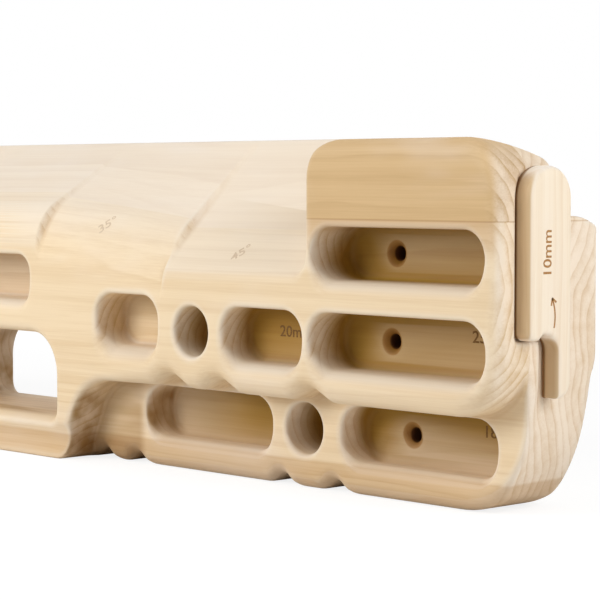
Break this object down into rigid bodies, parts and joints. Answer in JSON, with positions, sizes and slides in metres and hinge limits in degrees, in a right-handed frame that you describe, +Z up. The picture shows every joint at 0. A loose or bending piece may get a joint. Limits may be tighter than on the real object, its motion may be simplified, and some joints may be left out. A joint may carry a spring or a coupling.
{
  "type": "hangboard",
  "caption": "Wooden climbing hangboard with finger pockets, sloping holds, corner jugs, a pull-up bar across the middle and a storable depth insert on each end.",
  "frame": {"origin": "middle of the bottom edge of the bar, half way between the front face and the back face that lies on the wall", "axes": "+X along the board towards its right end as a climber sees it, +Y from the front towards the wall, +Z up"},
  "size_m": [0.7646, 0.068, 0.1685],
  "materials": {
    "board_wood": "sanded and oiled pale hardwood",
    "insert_wood": "sanded pale hardwood",
    "magnet": "nickel plated"
  },
  "bodies": {
    "board": {"board": "board_wood", "seat_magnet_upper_right": "magnet", "seat_magnet_lower_right": "magnet", "seat_magnet_upper_left": "magnet", "seat_magnet_lower_left": "magnet"},
    "insert_right": {"insert_right": "insert_wood", "insert_magnet_upper_right": "magnet", "insert_magnet_lower_right": "magnet"},
    "insert_left": {"insert_left": "insert_wood", "insert_magnet_upper_left": "magnet", "insert_magnet_lower_left": "magnet"}
  },
  "joints": [
    {"name": "insert_right_pull", "type": "slide", "parent": "board", "child": "insert_right", "axis": [1, 0, 0], "range_m": [0, 0.04]},
    {"name": "insert_left_pull", "type": "slide", "parent": "board", "child": "insert_left", "axis": [-1, 0, 0], "range_m": [0, 0.04]}
  ]
}
